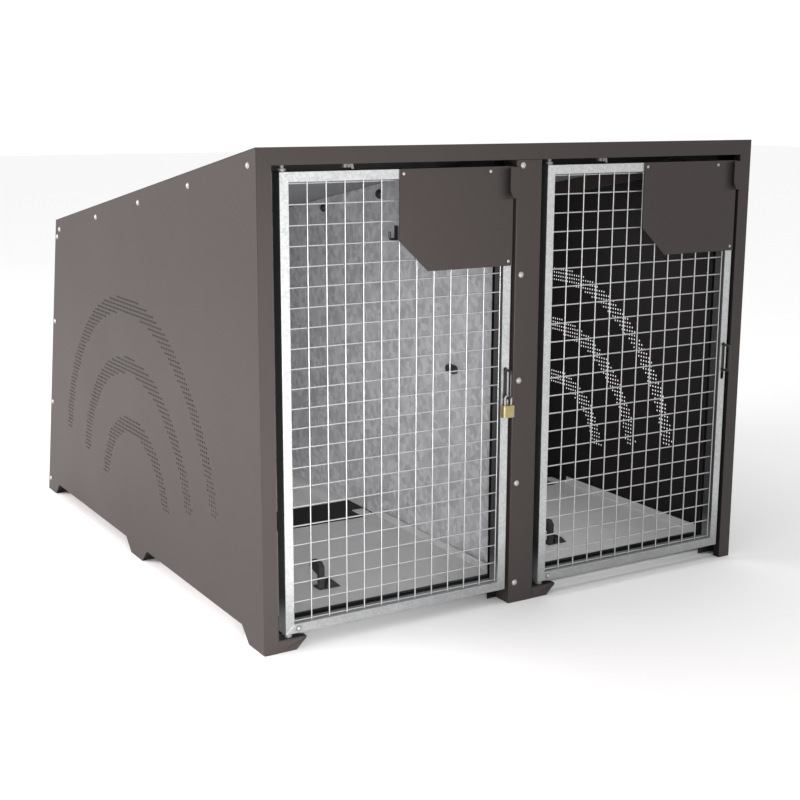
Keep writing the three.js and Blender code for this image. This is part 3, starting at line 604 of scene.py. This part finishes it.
# ---------------------------------------------------------------- fittings inside the bays
# Black moulded knobs, a double eye and a coated hook on the partition, and a black moulded
# wheel holder on each tray.
knobs, knob_radius, knob_dome = 3, 0.015, 0.012


def moulded(name, tone, rough):
    """Black moulding or coating with a fine grain."""
    finish = Finish(name, metallic=0.0, roughness=rough)
    grain = finish.noise(scale=600.0, detail=2.0)
    cloud = finish.noise(scale=40.0, detail=3.0)
    finish.feed(base_color=finish.mix(
        cloud, (tone, tone, tone, 1), (tone * 1.5, tone * 1.5, tone * 1.45, 1)),
        roughness=grain * 0.16 + (rough - 0.08))
    finish.bump(grain, strength=0.25, distance=0.0003)
    return finish.material


black_plastic = moulded("black_moulding", tone=0.011, rough=0.5)
black_steel = moulded("black_coated_steel", tone=0.010, rough=0.36)
knob_head = domed_head(knob_radius, knob_dome, segments=28)
for i in range(1, knobs + 1):
    low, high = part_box(f"partition_knob_{i}")
    place = (high.x, (low.y + high.y) / 2, (low.z + high.z) / 2)
    knob = joined(f"bay_knob_{i}", [twin(knob_head, place, facing((-1, 0, 0)))])
    finished(knob, black_plastic, "cabinet", "black_plastic", f"partition_knob_{i}", smooth=40)
bpy.data.objects.remove(knob_head)
for node, material, slot in (
        ("partition_hook", black_steel, "black_steel"),
        ("partition_eye", black_plastic, "black_plastic")):
    part = clean_copy(f"bay_{node}", node)
    round_edges(part, radius=0.0005, segments=2, chosen=longer_than(0.004))
    finished(part, material, "cabinet", slot, node, smooth=40)
for side in ("left", "right"):
    holder = clean_copy(f"{side}_wheel_rest", f"{side}_wheel_holder")
    round_edges(holder, radius=0.0015, segments=2, chosen=longer_than(0))
    finished(holder, black_plastic, "cabinet", "black_plastic", f"{side}_wheel_holder")

# ---------------------------------------------------------------- door frames
# Galvanised rectangular tube, 25 by 40 mm, cut at 45 degrees and welded at the corners, with
# a weld bead across each joint in front.
tube_width = 0.025
bead_radius, bead_length, bead_setback = 0.0011, 0.0315, 0.0006


def tube_shade(finish):
    """Painted shade: darker at the foot, and dark above it on faces that look to the hinges or up.
    """
    height = finish.along("Z")
    turned_away = (finish.slope(finish.faces("X"), -0.6, -0.85, 1, 0.15)
                   * finish.slope(finish.faces("Z"), 0.6, 0.85, 1, 0.15))
    foot = finish.ramp(height, (0.06, 0.62), (0.2, 1))
    return foot * (1 - (1 - turned_away) * finish.slope(height, 0.05, 0.15))


tube_zinc = galvanised_finish(
    "galvanised_tube", (0.33, 0.335, 0.34, 1), (0.60, 0.61, 0.61, 1),
    flake_scale=190.0, rough=0.42, metallic=0.6, shade=tube_shade)
for side in ("left", "right"):
    door = clean_copy(f"{side}_frame_tube", f"{side}_door_frame")
    round_edges(door, radius=0.0018, segments=3, chosen=longer_than(0.5))
    low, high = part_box(f"{side}_door_frame")
    bpy.ops.mesh.primitive_cylinder_add(vertices=8, radius=bead_radius, depth=bead_length)
    bead = bpy.context.object
    beads = []
    for x, across in ((low.x + tube_width / 2, 1), (high.x - tube_width / 2, -1)):
        for z, rise in ((low.z + tube_width / 2, -1), (high.z - tube_width / 2, 1)):
            lean = Matrix.Rotation(-across * rise * math.pi / 4, 4, "Y")
            beads.append(twin(bead, (x, low.y + bead_setback, z), lean))
    bpy.data.objects.remove(bead)
    door = joined(door.name, [door, *beads])
    finished(door, tube_zinc, f"{side}_door", "galvanised", f"{side}_door_frame")

# ---------------------------------------------------------------- door mesh
# Round galvanised wires, welded where they cross: upright ones in front, level ones behind.
# Twelve gaps across and twenty-two down, with a wire against the tube on every side.
columns, rows = 12, 22
wire_radius = 0.0019
wire_offset = wire_radius * 0.85
level_wire_inset = 0.0032

wire_zinc = plated_steel("galvanised_wire", (0.50, 0.51, 0.52), rough=0.36, metallic=0.8)
for side in ("left", "right"):
    low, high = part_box(f"{side}_door_mesh")
    centre_x, centre_y, centre_z = ((a + b) / 2 for a, b in zip(low, high))
    bpy.ops.mesh.primitive_cylinder_add(vertices=10, radius=wire_radius, depth=high.z - low.z)
    upright = bpy.context.object
    bpy.ops.mesh.primitive_cylinder_add(vertices=10, radius=wire_radius, depth=high.x - low.x)
    level = bpy.context.object
    wires = []
    first, last = low.x + wire_radius, high.x - wire_radius
    for i in range(columns + 1):
        x = first + (last - first) * i / columns
        wires.append(twin(upright, (x, centre_y - wire_offset, centre_z)))
    first, last = low.z + level_wire_inset, high.z - level_wire_inset
    lying = Matrix.Rotation(math.pi / 2, 4, "Y")
    for i in range(rows + 1):
        z = first + (last - first) * i / rows
        wires.append(twin(level, (centre_x, centre_y + wire_offset, z), lying))
    bpy.data.objects.remove(upright)
    bpy.data.objects.remove(level)
    lattice = joined(f"{side}_wire_mesh", wires)
    finished(lattice, wire_zinc, f"{side}_door", "wire", f"{side}_door_mesh", smooth=60)

# ---------------------------------------------------------------- cover plates and pull tabs
# A steel plate with a cut corner, screwed to the front of each door's upper corner. It has a
# shallow scoop for the fingers beside the tab that the door is pulled by. The tab laps over
# the post.
door_pitch = 0.784
scoop_edge = -0.0615
scoop_run = (-0.046, 0.001)
scoop_top = (1.1965, 1.187)
scoop_foot = (1.104, 1.130)
plate_screws = ((-0.3815, 1.1847), (-0.1215, 1.1847), (-0.0615, 0.9507))
screw_radius, screw_dome = 0.0045, 0.0022


def scoop_shade(edge):
    """Painted shade that deepens toward the tab, with soft ends above and below."""
    start, end = (edge + distance for distance in scoop_run)
    return lambda finish: (
        finish.slope(finish.along("X"), start, end)
        * finish.slope(finish.along("Z"), *scoop_top)
        * finish.slope(finish.along("Z"), *scoop_foot) * 0.95)


small_head = domed_head(screw_radius, screw_dome, segments=16)
for side, shift in (("left", 0), ("right", door_pitch)):
    # The plate's coat has painted shade in the scoop, deepening toward the tab.
    plate_paint = powder_coat(f"{side}_plate_coat", scoop_shade(shift + scoop_edge))
    plate = clean_copy(f"{side}_corner_plate", f"{side}_cover_plate")
    round_edges(plate, radius=0.0006, segments=2, chosen=longer_than(0.02))
    finished(plate, plate_paint, f"{side}_door", "paint", f"{side}_cover_plate")
    tab = clean_copy(f"{side}_door_tab", f"{side}_pull_tab")
    round_edges(tab, radius=0.0005, segments=2, chosen=longer_than(0.008))
    finished(tab, paint, f"{side}_door", "paint", f"{side}_pull_tab")
    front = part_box(f"{side}_cover_plate")[0].y
    screws = [twin(small_head, (x + shift, front, z), facing((0, -1, 0)))
              for x, z in plate_screws]
    finished(joined(f"{side}_plate_screws", screws), plated, f"{side}_door", "steel", smooth=40)
bpy.data.objects.remove(small_head)

# ---------------------------------------------------------------- pivots and foot brackets
# Each door turns on a steel pin in a folded foot bracket with a black pad, and on one that goes
# up into the beam. A small lug hangs from the beam over each door, and a round-headed screw
# with a black washer sits in the lower rail, beside the pin.
rail_head_radius, rail_head_dome = 0.0064, 0.005
washer_radius, washer_dome = 0.0085, 0.0014

dull_steel = plated_steel("dull_steel", (0.22, 0.215, 0.21), rough=0.45)
rail_head = domed_head(rail_head_radius, rail_head_dome)
rail_washer = domed_head(washer_radius, washer_dome, segments=28)
for side in ("left", "right"):
    foot = clean_copy(f"{side}_foot_bracket", f"{side}_bottom_bracket")
    round_edges(foot, radius=0.0022, segments=3, chosen=longer_than(0.01))
    finished(foot, paint, "cabinet", "paint", f"{side}_bottom_bracket")
    pad = clean_copy(f"{side}_foot_pad", f"{side}_bracket_pad")
    round_edges(pad, radius=0.0006, segments=2, chosen=longer_than(0.01))
    finished(pad, black_plastic, "cabinet", "black_plastic", f"{side}_bracket_pad")
    for node, body in (
            ("bottom_pin", "cabinet"), ("top_pin", f"{side}_door"), ("beam_lug", "cabinet")):
        part = clean_copy(f"{side}_steel_{node}", f"{side}_{node}")
        round_edges(part, radius=0.0005, segments=2, chosen=lambda a, b: abs(a.z - b.z) < hairline)
        finished(part, dull_steel, body, "steel", f"{side}_{node}", smooth=40)
    screw = joined(f"{side}_rail_screw", [seated(rail_head, f"{side}_pivot_screw")])
    finished(screw, plated, f"{side}_door", "steel", f"{side}_pivot_screw", smooth=40)
    washer = joined(f"{side}_rail_washer", [seated(rail_washer, f"{side}_pivot_screw")])
    finished(washer, black_steel, f"{side}_door", "steel", smooth=40)
bpy.data.objects.remove(rail_head)
bpy.data.objects.remove(rail_washer)

# ---------------------------------------------------------------- latch loops and padlock
# A bent black rod on a flat bar slides in the slot of each free stile. The padlock is a small
# brass one with a steel shackle, and hangs on the left loop.
loop_radius, loop_bend, loop_height = 0.004, 0.010, 0.075
bar_width, bar_thickness = 0.018, 0.004
shackle_radius, shackle_bend = 0.003, 0.00999
short_leg_lift = 0.013


def bent_rod(name, corners, bend, radius, steps=8):
    """A round rod along straight runs joined by round bends."""
    corners = [Vector(corner) for corner in corners]
    points = [corners[0]]
    for before, corner, after in zip(corners, corners[1:], corners[2:]):
        back = (before - corner).normalized()
        ahead = (after - corner).normalized()
        half = back.angle(ahead) / 2
        setback = bend / math.tan(half)
        centre = corner + (back + ahead).normalized() * (bend / math.sin(half))
        start = (corner + back * setback - centre).normalized()
        end = (corner + ahead * setback - centre).normalized()
        for i in range(steps + 1):
            points.append(centre + start.slerp(end, i / steps) * bend)
    points.append(corners[-1])
    path = bpy.data.curves.new(name, "CURVE")
    path.dimensions = "3D"
    path.bevel_depth = radius
    path.bevel_resolution = 4
    path.use_fill_caps = True
    spline = path.splines.new("POLY")
    spline.points.add(len(points) - 1)
    for point, place in zip(spline.points, points):
        point.co = (*place, 1)
    rod = bpy.data.objects.new(name, path)
    bpy.context.scene.collection.objects.link(rod)
    only(rod)
    bpy.ops.object.convert(target="MESH")
    rod = bpy.context.object
    only(rod)
    bpy.ops.object.mode_set(mode="EDIT")
    bpy.ops.mesh.select_all(action="SELECT")
    bpy.ops.mesh.remove_doubles(threshold=merge_distance)
    bpy.ops.object.mode_set(mode="OBJECT")
    return rod


for side in ("left", "right"):
    low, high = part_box(f"{side}_latch_loop")
    x, middle = (low.x + high.x) / 2, (low.z + high.z) / 2
    reach, back = low.y + loop_radius, high.y - bar_thickness / 2
    top, bottom = middle + loop_height / 2, middle - loop_height / 2
    rod = bent_rod(f"{side}_loop_rod", (
        (x, back, bottom), (x, reach, bottom), (x, reach, top), (x, back, top)),
        loop_bend, loop_radius)
    bpy.ops.mesh.primitive_cube_add(size=1, location=(x, back, middle))
    bar = bpy.context.object
    bar.scale = (bar_width, bar_thickness, high.z - low.z)
    settle(bar)
    round_edges(bar, radius=0.0006, segments=2, chosen=longer_than(0))
    loop = joined(f"{side}_loop", [rod, bar])
    finished(loop, black_steel, f"{side}_latch", "black_steel", f"{side}_latch_loop")

low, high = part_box("padlock_shackle")
long_leg, short_leg = low.x + shackle_radius, high.x - shackle_radius
y, top = (low.y + high.y) / 2, high.z - shackle_radius
bow = bent_rod("padlock_bow", (
    (long_leg, y, low.z), (long_leg, y, top), (short_leg, y, top),
    (short_leg, y, low.z + short_leg_lift)), shackle_bend, shackle_radius, steps=12)
finished(bow, plated, "shackle", "steel", "padlock_shackle")

brass = Finish("brushed_brass", metallic=1.0, roughness=0.34)
brush_lines = brass.noise(scale=1.0, detail=3.0, place=brass.node("ShaderNodeMapping", {}, {
    "Vector": brass.place, "Scale": (3000.0, 3000.0, 120.0)}))
brass.feed(
    base_color=brass.mix(
        brass.noise(scale=120.0, detail=3.0), (0.36, 0.29, 0.14, 1), (0.50, 0.42, 0.23, 1)),
    roughness=brush_lines * 0.2 + 0.24)
brass.bump(brush_lines, strength=0.15, distance=0.0002)
lock = clean_copy("padlock_case", "padlock_body")
round_edges(lock, radius=0.0007, segments=2, chosen=longer_than(0.003))
finished(lock, brass.material, "padlock", "brass", "padlock_body")

# ---------------------------------------------------------------- floor
# The locker stands on a wide sheet of matt white paper, which has no edge or fold in view
# and is barely clouded.
bpy.ops.mesh.primitive_plane_add(size=60)
floor = bpy.context.object
floor.name = "floor"
paper = Finish("pale_floor", metallic=0.0, roughness=0.9)
paper.feed(base_color=paper.mix(
    paper.noise(scale=0.8, detail=2.0), (0.89, 0.89, 0.89, 1), (0.90, 0.90, 0.90, 1)))
floor.data.materials.append(paper.material)
